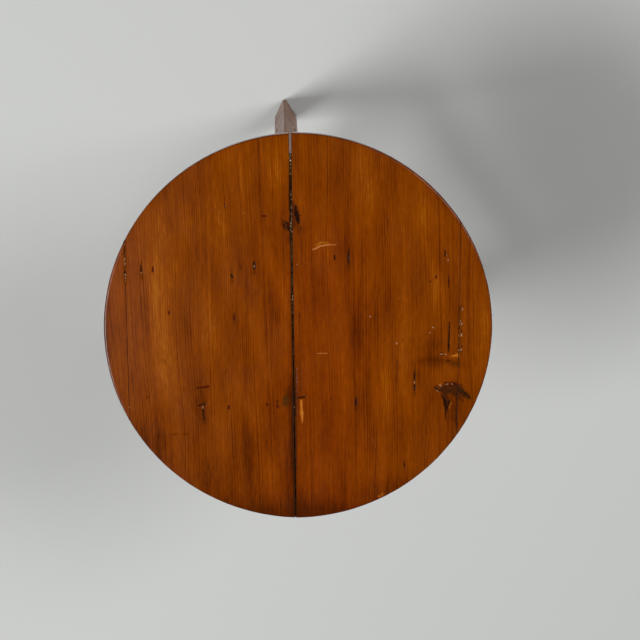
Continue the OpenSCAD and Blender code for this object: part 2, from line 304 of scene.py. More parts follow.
def age_stick(bm, axis, seed, dents):
    """Gives a stick that lies along an axis its hand-planed faces, knocks and grain, with no marks yet."""
    grain, tone, _, marks = wood_layers(bm)
    bm.normal_update()
    first, second = [i for i in range(3) if i != axis]
    middle = sum((v.co for v in bm.verts), Vector()) / len(bm.verts)
    for v in bm.verts:
        v[marks] = (0, 0, 0, 0)
        along = v.co[axis]
        v[grain] = [at + seed * own for at, own in zip((v.co[first], along, v.co[second]), OWN_WOOD)]
        sides = v.normal.copy()
        sides[axis] = 0
        worn = PLANE_WAVE * (1 + ripple(v.co[first] / 22, along / 55, v.co[second] / 22 + seed))
        turn = math.atan2(v.co[second] - middle[second], v.co[first] - middle[first]) / math.tau % 1
        for place, where, width, depth in dents:
            apart = abs((turn - where + 0.5) % 1 - 0.5) * GIRTH
            away = math.hypot(along - place, apart) / width
            if away < 1:
                worn += depth * (1 - away * away) ** 2
        v.co -= sides * worn
        v[tone] = 0.12 * ripple(along / 120, seed, 0) - 0.1 * min(worn, 1.2)


polished_leg = pine("shellacked_old_pine_leg", LEG_TONES, roughness=0.3, shine=0.27, relief_mm=0.05)


def leg_section():
    """The leg's five corners, square across it: two outer faces, the planed corner flat, two inner faces."""
    depth = CORNER_FLAT / 2 / math.tan(CORNER_HALF)
    side_x = -LEG_FACE * math.cos(CORNER_HALF)
    side_y = LEG_FACE * math.sin(CORNER_HALF)
    return [(-depth, -CORNER_FLAT / 2), (-depth, CORNER_FLAT / 2), (side_x, side_y),
            (-LEG_FACE / math.cos(CORNER_HALF), 0), (side_x, -side_y)]


def in_frame(turn):
    """From the frame's own middle to the row frame, turned about the upright."""
    return Matrix.Translation((0, FRAME_OFFSET, 0)) @ Matrix.Rotation(math.radians(turn), 4, "Z")


def build_leg(node, turn, seed):
    """A leg is drawn upright, its outer corner at x 0, cut level with the floor and the top, then leaned."""
    to_room = in_frame(turn) @ Matrix.Translation((FOOT_REACH, 0, 0)) @ Matrix.Rotation(-SPLAY, 4, "Y")
    to_leg = to_room.inverted()
    bm = new_wood()
    bm.faces.new([bm.verts.new((x, y, -LEG_SPARE)) for x, y in leg_section()])
    raise_up(bm, UNDERSIDE + 2 * LEG_SPARE)
    bmesh.ops.recalc_face_normals(bm, faces=bm.faces[:])
    soften(bm, long_edges(bm, 2), LEG_ARRIS)
    level = to_leg.to_3x3() @ Vector((0, 0, 1))
    saw(bm, to_leg @ Vector((0, 0, UNDERSIDE)), level)
    saw(bm, to_leg @ Vector((0, 0, 0)), -level)
    foot = [e for e in bm.edges if all((to_room @ v.co).z < CLOSE for v in e.verts)]
    soften(bm, foot, FOOT_ARRIS, 2)
    # The cuts stay clear of the rounded corners
    slice_across(bm, 2, steps(2, UNDERSIDE - 2, ALONG_STEP))
    slice_across(bm, 0, steps(-LEG_FACE * 1.1, -6, ACROSS_STEP))
    slice_across(bm, 1, steps(-22, 22, ACROSS_STEP))
    ends = [(v, v.co.copy()) for v in bm.verts
            if (to_room @ v.co).z > UNDERSIDE - CLOSE or (to_room @ v.co).z < CLOSE]
    age_stick(bm, 2, seed, dent_list(seed, LEG_DENTS, 20, UNDERSIDE - 120))
    for v, drawn in ends:
        v.co.z += (to_room @ drawn).z - (to_room @ v.co).z
    _, tone, _, marks = wood_layers(bm)
    for v in bm.verts:
        v[tone] -= FOOT_GRIME * math.exp(-v.co.z / FOOT_GRIME_RISE)
        if v.co.x > -CORNER_FLAT and abs(v.co.y) < RUBBED_HALF_WIDTH:
            cover = RUBBED_COVER * (1 + 0.4 * ripple(v.co.y / 4, seed, v.co.z / 30))
            v[marks] = [c * cover for c in linear(RUBBED_WOOD)]
    set_down(bm, node + "_worn", to_room, [polished_leg], [node])


for seed, (node, turn) in enumerate(LEG_ANGLES.items()):
    build_leg(node, turn, seed + 1)

# The three aprons
# Boards under the top that join the legs at their tops and carry the planks. They are planed and polished
# outside, and left rough from the saw inside, where nobody looks.
SIDE_LEAN = math.atan((FOOT_REACH - LEG_TOP_REACH) / 2 / UNDERSIDE)
FACE_LEAN = math.atan((FOOT_REACH - LEG_TOP_REACH) * math.cos(math.radians(30)) * math.cos(SIDE_LEAN)
                      / UNDERSIDE)
APRON_DEPTH = 90
APRON_THICKNESS = 22
# How much too high an apron is drawn before it is cut off level under the top
APRON_SPARE = 6
SHOULDER_GAP = 0.12
RAIL_ARRIS = 1.4
RAIL_DENTS = 14
# Faces that lie this near the inner side are left from the saw
SAWN_WITHIN = 1.2
SIDE_ANGLES = {"back_right": 30, "back_left": 150, "front": 270}
RAIL_TONES = ["#3E1D04", "#602E05", "#743B07", "#83470B", "#9A5A17"]
RAW_TONES = ["#4A2F17", "#6B4626", "#815934", "#926A41", "#A78056"]

polished_rail = pine("shellacked_old_pine_rail", RAIL_TONES, roughness=0.34, shine=0.25, relief_mm=0.05)
raw_pine = pine("bare_sawn_old_pine", RAW_TONES, roughness=0.75, shine=0.2, relief_mm=0.16)


def corner_reach(z):
    """Reach of a leg's sharp outer corner from the frame's middle, at a height."""
    return FOOT_REACH - (FOOT_REACH - LEG_TOP_REACH) * z / UNDERSIDE


def half_side(z):
    """Half the length of a side of the frame, from corner to corner, at a height."""
    return corner_reach(z) * math.cos(math.radians(30))


def on_side(side, base):
    """From a side of the frame to the row frame: x out of the legs' outer faces, y along, z up the faces."""
    return (in_frame(side) @ Matrix.Translation((corner_reach(base) / 2, 0, base))
            @ Matrix.Rotation(-SIDE_LEAN, 4, "Y"))


def build_rail(node, side, base, depth, thickness, setback, seed, to_top, materials, hollow=None):
    """A rail between two legs, cut to their inner faces. An apron is also cut off level under the top."""
    to_room = on_side(side, base)
    bm = new_wood()
    bmesh.ops.create_cube(bm, size=1)
    height = depth + (APRON_SPARE if to_top else 0)
    bmesh.ops.scale(bm, vec=(thickness, 2 * half_side(base), height), verts=bm.verts)
    bmesh.ops.translate(bm, vec=(-setback - thickness / 2, 0, height / 2), verts=bm.verts)
    end = half_side(base) - LEG_FACE / math.cos(FACE_LEAN) - SHOULDER_GAP
    for way in (-1, 1):
        saw(bm, (0, way * end, 0), (0, way * math.cos(FACE_LEAN), math.sin(FACE_LEAN)))
    if to_top:
        to_rail = to_room.inverted()
        saw(bm, to_rail @ Vector((0, 0, UNDERSIDE)), to_rail.to_3x3() @ Vector((0, 0, 1)))
    soften(bm, long_edges(bm, 1), RAIL_ARRIS)
    slice_across(bm, 1, steps(-end, end, ALONG_STEP))
    slice_across(bm, 2, steps(2, depth - 2, ACROSS_STEP))
    top_edge = [(v, v.co.copy()) for v in bm.verts if to_top and (to_room @ v.co).z > UNDERSIDE - CLOSE]
    age_stick(bm, 1, seed, dent_list(seed, RAIL_DENTS, -end, end))
    for v, drawn in top_edge:
        v.co = drawn
    if hollow:
        deep, middle, half_length, reach = hollow
        for v in bm.verts:
            if v.co.z > depth - reach:
                v.co.z -= deep * math.exp(-((v.co.y - middle) / half_length) ** 2)
    for face in bm.faces:
        rough = to_top and face.calc_center_median().x < -thickness - setback + SAWN_WITHIN
        face.material_index = 1 if rough else 0
    set_down(bm, node + "_worn", to_room, materials, [node])


for seed, (name, side) in enumerate(SIDE_ANGLES.items()):
    build_rail("apron_" + name, side, UNDERSIDE - APRON_DEPTH, APRON_DEPTH, APRON_THICKNESS, 0,
               seed + 11, True, [polished_rail, raw_pine])

# The three stretchers
# Lighter rails a third of the way up that keep the legs from spreading. Feet have rested on them, so their
# upper edges are worn hollow.
STRETCHER_DEPTH = 42
STRETCHER_THICKNESS = 19
STRETCHER_RISE = 240
STRETCHER_SETBACK = 1.5
# How deep the hollow is, where its middle is along the rail, half its length, and how far down it reaches
STRETCHER_HOLLOW = (2.2, 25, 80, 5)

for seed, (name, side) in enumerate(SIDE_ANGLES.items()):
    build_rail("stretcher_" + name, side, STRETCHER_RISE, STRETCHER_DEPTH, STRETCHER_THICKNESS,
               STRETCHER_SETBACK, seed + 21, False, [polished_rail], hollow=STRETCHER_HOLLOW)

# The pegs
# Whittled oak pins, driven through each tenon from the legs' outer faces and cut off just proud. Nine-sided,
# rounded over by rubbing, and darker than the pine because their end grain drinks the polish.
PEG_RADIUS = 3.5
PEG_SIDES = 9
PEG_REACH = 17
PEG_PROUD = 0.9
PEG_BEVEL = 0.7
PEG_CROWN = 0.1
# Whittling leaves each corner at least this share of the radius out
PEG_LEAST = 0.92
PEG_INSET = 11
PEG_PITCH = 30
PEG_STAGGER = 9
APRON_HAUNCH = 14
APRON_SHOULDER = 8
PEG_TONES = ["#1E0D03", "#301604", "#3F1F07", "#4E2A0C", "#664019"]
APRON_PEG_MIDDLE = (APRON_DEPTH - APRON_HAUNCH + APRON_SHOULDER) / 2
PEG_HEIGHTS = {
    "apron_pegs_": (UNDERSIDE - APRON_DEPTH, [APRON_PEG_MIDDLE + way * PEG_PITCH / 2 for way in (-1, 1)]),
    "stretcher_pegs_": (STRETCHER_RISE, [STRETCHER_DEPTH / 2]),
}

peg_oak = pine("polished_oak_end_grain", PEG_TONES, roughness=0.4, shine=0.3, relief_mm=0.12, growth_mm=1.1)


def whittle_peg(bm, to_room, draw):
    """Adds one peg to the others of its leg. In its own frame it lies along z, with its outer end above 0."""
    turn = Matrix.Rotation(draw.uniform(0, math.tau), 4, "Z")
    middle = Matrix.Translation((0, 0, (PEG_PROUD - PEG_REACH) / 2))
    made = bmesh.ops.create_cone(bm, cap_ends=True, segments=PEG_SIDES, matrix=middle @ turn,
                                 radius1=PEG_RADIUS, radius2=PEG_RADIUS, depth=PEG_REACH + PEG_PROUD)["verts"]
    for v in made:
        v.co.xy *= draw.uniform(PEG_LEAST, 1)
    cap = next(f for f in {f for v in made for f in v.link_faces} if f.normal.z > 0.9)
    bevelled = soften(bm, cap.edges[:], PEG_BEVEL, 2)
    parts = set(made) | {v for f in bevelled["faces"] for v in f.verts}
    parts = {v for v in parts if v.is_valid}
    top = max(v.co.z for v in parts)
    crown = [f for f in {f for v in parts for f in v.link_faces} if f.calc_center_median().z > top - CLOSE]
    poked = bmesh.ops.poke(bm, faces=crown)["verts"]
    for v in poked:
        v.co.z = min(PEG_PROUD, v.co.z + PEG_CROWN)
    grain, _, _, marks = wood_layers(bm)
    shift = Vector([draw.uniform(0, 500) for _ in range(3)])
    for v in parts | set(poked):
        v[marks] = (0, 0, 0, 0)
        v[grain] = Vector((v.co.x, v.co.z, v.co.y)) + shift
        v.co = to_room @ v.co


for family, (base, heights) in PEG_HEIGHTS.items():
    for seed, (leg, leg_turn) in enumerate(LEG_ANGLES.items()):
        bm = new_wood()
        draw = random.Random(seed + len(family))
        for end in (-1, 1):
            for height in heights:
                up = height + end * PEG_STAGGER / 2
                along = end * (half_side(base + up) - LEG_FACE + PEG_INSET)
                peg_place = (on_side(leg_turn - end * 60, base) @ Matrix.Translation((0, along, up))
                             @ Matrix.Rotation(math.radians(90), 4, "Y"))
                whittle_peg(bm, peg_place, draw)
        place = family + leg.removeprefix("leg_")
        set_down(bm, place + "_whittled", Matrix.Identity(4), [peg_oak], [place], crease=0.9)

# The dowels in the board joints
# Plain turned beech dowels, glued into bored holes across the three joints of the top. They show only from
# below, deep in the open joint, so the CAD nodes stay and get bare wood.
DOWEL_TONES = ["#6E4B2B", "#8C6840"]
# Flecks to the metre: each is about 17 mm long and 1.1 mm across
DOWEL_FLECKS = (60, 900, 900)


def bare_beech():
    """Bare beech, dusty and dry: fine short flecks along the dowel."""
    material, tree = new_material("bare_beech_dowel")
    place = add(tree, "TexCoord").outputs["Object"]
    fleck = add(tree, "Mapping", {"Vector": place, "Scale": DOWEL_FLECKS})
    figure = add(tree, "TexNoise", {"Vector": fleck, "Scale": 1, "Detail": 3})
    colour = add(tree, "Mix", {0: figure, 6: linear(DOWEL_TONES[0]), 7: linear(DOWEL_TONES[1])},
                 data_type="RGBA")
    shader = add(tree, "BsdfPrincipled", {"Base Color": colour.outputs[2], "Roughness": 0.75})
    add(tree, "OutputMaterial", {"Surface": shader})
    return material


def refinish(nodes, material):
    """Gives CAD nodes that stay another finish."""
    for node in nodes:
        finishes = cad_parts[node].data.materials
        finishes.clear()
        finishes.append(material)


refinish(("dowels_left_joint", "dowels_main_joint", "dowels_right_joint"), bare_beech())

# The round top
# Four pine boards, jointed, doweled, cut to a round and planed, then polished with shellac. Each half has
# shrunk across the grain, the main joint has opened, and the face has holes, knots, scratches and worn
# places.
TOP_THICKNESS = 21
TOP_RADIUS = 317.5
TOP_SHRINK = 5
TOP_TURN = math.radians(3.6)
LEFT_JOINT = -275
RIGHT_JOINT = 258
EDGE_GAP = 0.6
MAIN_JOINT = -9
MAIN_JOINT_DRIFT = 6
MAIN_GAP_BACK = 3.8
MAIN_GAP_FRONT = 1.6
# Where the main joint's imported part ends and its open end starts
OPEN_FROM = 285
RIM_ROUND = 3.5
RIM_UNDER_ROUND = 2
MAIN_JOINT_ROUND = 0.35
EDGE_JOINT_ROUND = 0.25
RIM_FACES = 360
TOP_TONES = ["#4A1D00", "#642900", "#773500", "#863F01", "#9D560A"]
# Cuts that carry the rounding: ring after ring inwards from the rim, and distances from a joint
RING_STEPS = (0.35, 0.75, 1.2, 1.2)
JOINT_STEPS = (0.15, 0.35, 0.8, 2.0)
# The faces of a board's mesh, across, along and through it. Round its marks the upper face is cut finer: how
# far round them, by how many cuts, and for strokes under what half width.
BOARD_STEPS = (6, 9, 4)
FINER = ((6.5, 3, 20), (2.5, 1, 3))
# Waves of the plane on the face: how deep, wide and long, and what sets their noise apart
FACE_WAVES = ((0.12, 60, 110, 0), (0.06, 24, 70, 7))
# How far knocks cut into the rim, and how far and how far in the joints' edges are nibbled
RIM_KNOCKS = 0.22
JOINT_NIBBLE = 0.06
NIBBLE_REACH = 3
# Wood that is darker than the rest: end grain, and a seam along the rim that fades out over its reach
END_GRAIN_DARK = 0.3
RIM_DARK = 0.15
RIM_DARK_REACH = 3
# Grime and how far it lies in from the rim, from the main joint's open end, from its imported part, and from
# an edge joint. At the rim the same dark is also painted shade along the rounded edge.
GRIME_AND_RIM_SHADE = "#2E1504"
RIM_GRIME_AND_SHADE = 3.2
OPEN_END_GRIME = 1.6
MAIN_JOINT_GRIME = 0.9
EDGE_JOINT_GRIME = 0.45
MAIN_JOINT_ZONE = 20
# How far the outlines of ragged marks wander across and along the boards, and how patchy their paint is
MARK_WANDER = (1.0, 2.4)
MARK_PATCHINESS = 0.22

to_top = Matrix.Translation((0, 0, UNDERSIDE)) @ Matrix.Rotation(-TOP_TURN, 4, "Z")

# Marks on the top, in the boards' own frame: x across the boards, y along the grain towards the back leg.
# Each is a stroke through two or more places, with half its width at each. Each family has a colour, a
# cover, a depth, how softly its edge fades as a share of its half width, and how ragged it is.
MARKS = {
    "handled_dirt": ("#371A05", 0.6, 0.05, 1.4, 1, [
        (-6, 208, 2, 0, 168, 7), (-26, 182, 2, -17, 168, 7), (237, -96, 6, 241, -130, 5),
        (250, -92, 6, 274, -112, 7), (-9, -58, 3, -8, -112, 4), (-9.5, -112, 6, -8, -222, 5),
        (-8, -222, 4, -6.5, -318, 4), (-12, 60, 2.5, -11, -58, 2.5), (-13, 285, 2, -12, 60, 2.5),
        (-275, 150, 2, -275, 80, 3), (260, 40, 3, 260, -60, 4), (-249, 116, 1.5, -249, 88, 3),
        (-106, 100, 2, -105, 82, 3.5), (-70, 118, 2, -70, 95, 3.4), (80, 134, 1.5, 80, 104, 3),
        (187.5, -56, 1.5, 188, -108, 3.5), (-155, -118, 2.5, -154, -152, 2.5), (93, -108, 2, 93, -130, 3),
        (-103, 32, 2, -103, 14, 3), (242, 12, 2, 242, -36, 2.5), (237, -52, 2.6, 254, -56, 4.2)]),
    "knot_stain": ("#36180A", 0.75, 0.05, 1.3, 1, [
        (-20, 178, 2, -16, 167, 4.5), (222, -94, 3, 262, -94, 4.5), (234, -102, 4, 240, -120, 4),
        (256, -132, 1.2, 257.5, -160, 1.8), (-13, 155, 2.5, -13, 140, 1.5)]),
    "knot_brown": ("#331A06", 0.95, 0.1, 1, 1.6, [
        (232, -97, 2.5, 246, -102, 4, 262, -103, 5), (262, -102, 5, 272, -108, 4.2),
        (272, -108, 4, 282, -117, 2), (252, -108, 3, 262, -116, 2)]),
    "joint_grime": ("#2C1204", 0.75, 0.5, 1, 0.6, [
        (-11.2, -100, 0.6, -10.6, -160, 1.9, -9.4, -225, 1.2, -8.4, -316, 0.9),
        (-4.4, -60, 0.8, -5.2, -140, 0.9), (-13.4, 252, 0.6, -13, 196, 1.5)]),
    "dark_streak": ("#34150A", 0.65, 0.15, 1, 0.6, [
        (159, -49, 0.9, 159.5, -94, 0.5), (1, 30, 0.9, 3, -100, 0.5), (-53, -182, 1.1, -52, -201, 0.6),
        (-5, -110, 0.9, -4, -230, 0.5), (21, -200, 0.5, 23, -300, 0.7), (-24, 158, 0.7, -22, 70, 0.4),
        (4, 170, 0.8, 5, 108, 0.4), (252, -176, 0.6, 255, -206, 0.9),
        (256.4, -116, 1.3, 256.6, -148, 2.2, 257.4, -172, 1)]),
    "smudge": ("#3B1A07", 0.62, 0.1, 1.3, 1, [
        (-120, -72, 0.9, -116, -64, 1.2), (-207, -171, 1.8, -198, -171, 2.4),
        (-188, -171, 2.2, -181, -171, 2), (-229, -177, 2, -229, -171, 2), (-149, -230, 2, -149, -224, 2),
        (-32, -284, 1.6, -30, -298, 1.8), (-246, -108, 2, -244, -108, 1.8), (-187, -96, 2, -185, -94, 1.6),
        (-91, 108, 1.2, -91, 101, 1), (-216, -46, 1.2, -214, -52, 1), (-168, -43, 1.4, -167, -45, 1),
        (168, -15, 1.4, 167, -17, 1), (119, 59, 1.3, 120, 56, 1), (79, 119, 1.5, 79, 118, 1.2),
        (23, 132, 0.8, 24, 124, 0.8), (29, 131, 0.7, 30, 126, 0.7)]),
    "green_stain": ("#33260A", 0.85, 0.2, 1.1, 1, [
        (-22, -109, 4, -22, -122, 4.6)]),
    "knot_red": ("#4A1603", 0.9, 0.15, 1.3, 1.4, [
        (-8.2, 210, 1.2, -7.6, 192, 2.2, -6.5, 173, 2.6), (-4, 207, 0.8, -3.7, 203, 0.8),
        (-24, 175, 1.2, -21.5, 168, 1.8), (-19, 177, 1.2, -15.5, 174, 1.8),
        (246, -119, 2.5, 242, -136, 1.2), (236, -87, 1.4, 257, -91, 2), (262, -112, 1.6, 268, -120, 1.2),
        (1.5, 166, 1, 1.5, 150, 0.6)]),
    "knot": ("#200B03", 1, 0.3, 0.8, 0.6, [
        (-4, 202, 1.6, -2.5, 191, 3.4, -0.6, 182, 3.2), (-0.6, 182, 3, 1.2, 175, 1.4),
        (1, 188, 0.9, 5.5, 187.4, 0.5), (-22.6, 174, 0.9, -22.4, 169.5, 1.4),
        (-18.5, 176, 1, -15.4, 174.6, 1.6), (-16, 170, 1.4, -15, 165, 1.6),
        (232.5, -109, 0.8, 237.5, -119, 2), (237.5, -119, 2.2, 239.6, -134, 1.4, 238, -151, 0.5),
        (244.8, -118.5, 1.5, 241, -131, 1.2), (221.5, -96.5, 1.2, 228, -100.5, 1.6),
        (230, -99, 1, 233, -102, 0.8), (237, -86.5, 0.7, 241, -88, 0.9), (251, -89, 0.9, 256, -90.5, 1),
        (244, -91.5, 0.6, 247, -93, 0.7), (258, -95, 0.9, 260, -99, 0.8), (268, -103, 1, 273, -107.5, 1.4),
        (276.5, -111.5, 1.4, 282, -117.5, 1.4, 283.5, -121, 0.7), (257.2, -104, 0.9, 257.6, -118, 0.6),
        (250, -104, 0.8, 253, -107, 1), (57.8, 123, 1.3, 57.8, 117.5, 1.8)]),
    "knot_core": ("#1A0803", 0.95, 0.3, 0.8, 0.5, [
        (-0.6, 184, 1.4, 0.9, 176.5, 0.9), (-4.2, 193, 0.6, -3.6, 187, 0.9),
        (-15.8, 171, 0.8, -14.8, 166, 1.2), (236, -114, 0.7, 239.4, -130, 1.1)]),
    "rust": ("#421003", 1, 0.4, 1, 0.4, [
        (-103, 25.5, 1.3, -103, 22, 1.8), (-116, 208, 0.9, -114, 199, 0.7),
        (-114, -123.5, 1.6, -114, -127, 2.2), (-52, -120.5, 1.6, -52, -122.5, 1.8),
        (-35, -116, 1.4, -35, -118, 1.4), (-35, -123, 1.5, -34.5, -127, 1.6),
        (-57, 187, 1.1, -51, 187, 1.5), (-165, -93, 1.4, -146, -91, 1.8), (220, 89, 1.5, 220, 86, 1.7),
        (211, 80, 1.1, 211, 79, 1.1), (-231, 106, 1.4, -231, 99.5, 2), (-207, 33.5, 1.5, -207, 30.5, 1.7),
        (52, -112, 0.8, 53, -114, 0.6), (229.5, -37.5, 0.8, 233, -37.5, 0.7),
        (230, -41.5, 0.9, 236, -41.5, 0.7), (240, -50.5, 0.9, 246, -51, 0.8)]),
    "hole": ("#231005", 0.98, 1, 0.8, 0.4, [
        (-250.2, 109, 0.6, -249.6, 100, 1.6), (-107.5, 93, 1, -105.5, 90, 2), (-71.3, 111, 1, -71, 102, 1),
        (-68.8, 111, 0.6, -68.8, 103, 1), (-70, 114, 0.8, -70, 111, 1.2),
        (80, 130, 0.4, 80, 121, 1.2, 80, 111, 1), (234, 131, 0.7, 234, 121, 1.5),
        (-163, -123, 0.9, -158, -121, 1.6), (-154, -120, 1.2, -151, -121, 0.8),
        (-155.5, -130, 1.2, -154, -147, 0.8), (-1, -111, 1.5, 9, -110, 1.9), (93, -112, 1.2, 93, -123, 1.8),
        (187.3, -68, 0.5, 187.5, -80, 1.4), (187.7, -92, 1.5, 188, -100, 0.7),
        (172, -220, 0.7, 173, -230, 1.3), (-275.2, 134, 1, -275.2, 127, 0.9),
        (-275.2, 99, 1.4, -275.2, 96, 1.2), (-13, 192, 0.6, -13, 178, 0.8),
        (258.6, 17, 0.7, 259, 13.5, 0.8), (264, 9, 0.6, 264, 7.5, 0.6), (259, 4, 0.7, 258.4, 1, 0.6),
        (262.6, -1, 0.6, 263, -3, 0.6), (257.6, -23, 0.8, 258, -26, 0.7),
        (263.6, -26, 0.8, 264, -28.5, 0.7), (259.6, -30.5, 0.8, 259, -33.5, 0.7),
        (261.6, -35.5, 0.7, 263, -35, 0.6)]),
    "crack": ("#1C0A03", 0.95, 1.4, 0.9, 0.3, [
        (241, 88, 0.3, 241, 80, 0.9, 241, 70, 0.3), (243.4, 15, 0.3, 242.8, -6, 0.9),
        (242.8, -6, 1, 242.5, -26, 1.3), (242.5, -26, 1.2, 242, -35, 0.3)]),
    "thin_polish": ("#A05A12", 0.8, 0.05, 1.3, 1.4, [
        (29, 139, 1.4, 35, 143.5, 2.4, 43, 145, 2.2), (43, 142.5, 1.8, 50, 143, 1.2),
        (248, -120, 0.7, 244.6, -131, 0.9), (243, -44, 1.4, 256, -42.5, 3.4)]),
    "bare_wood": ("#B4661B", 0.95, 0.35, 1, 0.4, [
        (3.6, -116, 2, 4.4, -138, 2.4), (4.6, -137, 2.4, 5.2, -153, 0.9), (249, -42.6, 0.9, 256, -41.8, 2),
        (131, -281, 1.6, 137, -277, 2.2), (227.5, -92, 0.7, 231, -89.5, 0.7)]),
    "pale_scratch": ("#B5713A", 0.85, 0.1, 1, 0.25, [
        (23, 133, 0.8, 28, 134.6, 1.2, 33.5, 138, 1.1), (33.5, 138, 1.2, 44, 139.8, 1.1),
        (44, 139.8, 1, 59.5, 140.8, 0.5), (30, -37, 0.5, 46, -37, 0.6)]),
    "fine_scratch": ("#A06A42", 0.4, 0.05, 0.9, 0.4, [
        (151, 54, 0.4, 165, 51.5, 0.4), (118, -180, 0.3, 126, -196, 0.4),
        (-150, 205, 0.3, -120, 190, 0.25)]),
    "pale_bit": ("#B38A68", 0.85, 0.1, 0.9, 0.7, [
        (115, 23.4, 1, 115, 22.6, 1), (-2, 109.4, 0.5, -2, 108.6, 0.5), (239, 115.5, 0.7, 239, 114.5, 0.7),
        (216, 5, 0.9, 218, 3, 0.7), (211, -3, 0.6, 212, -4, 0.6), (158, -20, 0.8, 158, -22, 0.8),
        (229, -40, 0.6, 232, -39, 0.5), (236, -40.5, 0.6, 239, -39.5, 0.5),
        (187.6, -86, 0.9, 187.6, -87.5, 0.9), (-156, -125.4, 0.7, -156, -127, 0.7),
        (229, -91.5, 0.5, 231, -93, 0.7), (239, -91, 0.5, 242, -89, 0.5),
        (224, -100.5, 0.5, 226, -101.5, 0.5), (248, -90, 0.5, 250, -91, 0.5),
        (-86, 193, 0.6, -84, 193, 0.6), (-249.6, 97.5, 0.7, -249.4, 96.5, 0.6),
        (-70, 107.5, 0.6, -70, 105.5, 0.5), (262.6, 10.6, 1.1, 262.4, 9.4, 1),
        (260, 15.4, 0.7, 260.6, 13.6, 0.6), (263.4, 35, 0.9, 263.4, 33.6, 0.8),
        (262.6, -6, 0.7, 262.6, -10, 0.9), (262.4, -32, 0.8, 262, -34, 0.8)]),
}
# Broad bands where the polish has worn paler or darkened, and some bands of painted shade, marked below:
# middle, half width, half length, how far the band leans across the board for each millimetre along it, and
# how much
PATCHES = [
    (-224, 100, 19, 60, 0, 0.3), (-220, 10, 18, 65, -0.05, 0.28), (-215, -90, 13, 60, -0.15, 0.26),
    (-200, -170, 14, 45, -0.1, 0.2), (-285, 45, 11, 36, 0, 0.2), (-118, 150, 13, 120, -0.05, 0.2),
    (-180, 195, 9, 60, -0.1, 0.14), (-42, 110, 10, 75, -0.3, 0.18), (-34, 255, 14, 45, 0, 0.2),
    (-138, 5, 12, 60, 0, 0.18), (-57, -40, 10, 60, -0.3, 0.18), (-78, -135, 9, 55, -0.35, 0.2),
    (-120, -170, 11, 60, 0, 0.24), (-45, -240, 9, 30, -0.1, 0.2), (46, 225, 12, 60, -0.1, 0.16),
    (95, 245, 12, 50, 0, 0.22), (128, 210, 10, 70, -0.15, 0.14), (190, 192, 20, 50, -0.1, 0.28),
    (220, 80, 9, 70, -0.2, 0.24), (18, -10, 9, 60, 0, 0.1), (68, 20, 8, 40, 0, 0.1),
    (70, -115, 12, 100, -0.05, 0.24), (138, -130, 10, 110, 0, 0.24), (168, -50, 9, 45, -0.1, 0.2),
    (300, 22, 12, 60, 0, 0.34), (222, -80, 10, 16, 0, 0.16), (247, -72, 9, 12, 0, 0.3),
    # (0, -330, ...) is painted shade: the top is darker towards the bottom.
    (288, -70, 9, 30, 0, 0.14), (0, -330, 420, 170, 0, -0.1), (-192, 20, 11, 45, 0, -0.18),
    (-158, -115, 11, 65, -0.05, -0.28), (-176, -210, 9, 55, 0, -0.14), (-150, -245, 14, 40, 0, -0.34),
    (-75, 55, 9, 60, -0.3, -0.14), (-40, 40, 8, 55, -0.2, -0.18), (-78, -95, 9, 30, 0, -0.16),
    (-85, -225, 10, 50, 0, -0.3), (-54, -185, 8, 40, -0.1, -0.2), (-14, -100, 9, 26, 0, -0.4),
    (-12, -200, 9, 110, 0, -0.42), (33, 50, 14, 45, 0, -0.18), (70, 135, 9, 40, 0, -0.12),
    (95, -8, 11, 50, 0, -0.24), (145, 45, 9, 40, 0, -0.28), (106, -110, 9, 45, 0, -0.2),
    # (216, -51, ...) is a painted shadow band along a shallow hollow.
    (45, -155, 9, 40, 0, -0.22), (190, -80, 9, 22, 0, -0.2), (216, -51, 24, 8, 0, -0.42),
    (212, -26, 20, 15, 0, -0.22), (226, 115, 8, 34, -0.2, -0.2), (250, -120, 24, 36, 0, -0.32),
    # (-10, -320, ...) and (-245, -195, ...) are painted shade along the bottom and lower left of the rim.
    (258, -185, 12, 40, 0, -0.12), (-10, -320, 170, 34, 0, -0.62), (-245, -195, 34, 50, 0, -0.4),
    (-312, -30, 12, 90, 0, -0.3), (170, -270, 60, 22, 0, -0.25), (-200, 235, 40, 22, 0, -0.16),
    (232, 222, 30, 24, 0, -0.2),
]
PATCH_STRENGTH = 0.88
# Knots that the growth lines bend round: place, half width and half length of the bend
BENDS = [(0, 188, 13, 34), (-19, 172, 11, 28), (240, -128, 15, 40), (262, -112, 14, 30)]
BEND_STRENGTH = 0.7

polished_top = pine("shellacked_old_pine_top", TOP_TONES, roughness=0.19, shine=0.25, relief_mm=0.02)


def line_at(line, y):
    """Where a joint's edge lies across the boards, at a place along them."""
    return line[0] + line[1] * y


def main_edge(side):
    """The edge of a board at the main joint: its place in the middle, and its lean along the grain."""
    return (MAIN_JOINT + side * (MAIN_GAP_BACK + MAIN_GAP_FRONT) / 4,
            (-MAIN_JOINT_DRIFT + side * (MAIN_GAP_BACK - MAIN_GAP_FRONT) / 2) / (2 * TOP_RADIUS))


def rounded(distance, radius):
    """How far a worn edge has dropped, at a distance inside it."""
    inside = max(0, radius - distance)
    return radius - math.sqrt(radius * radius - inside * inside)


def boxed_parts(strokes, softness):
    """The strokes' straight parts, each with the box that its soft edge reaches to."""
    found = []
    for stroke in strokes:
        for i in range(0, len(stroke) - 3, 3):
            part = x1, y1, half1, x2, y2, half2 = stroke[i:i + 6]
            edge = (1 + softness / 2) * max(half1, half2)
            found.append((min(x1, x2) - edge, max(x1, x2) + edge,
                          min(y1, y2) - edge, max(y1, y2) + edge, part))
    return found


MARK_PAINTS = [(linear(colour)[:3], cover, deep, softness, ragged, boxed_parts(strokes, softness))
               for colour, cover, deep, softness, ragged, strokes in MARKS.values()]


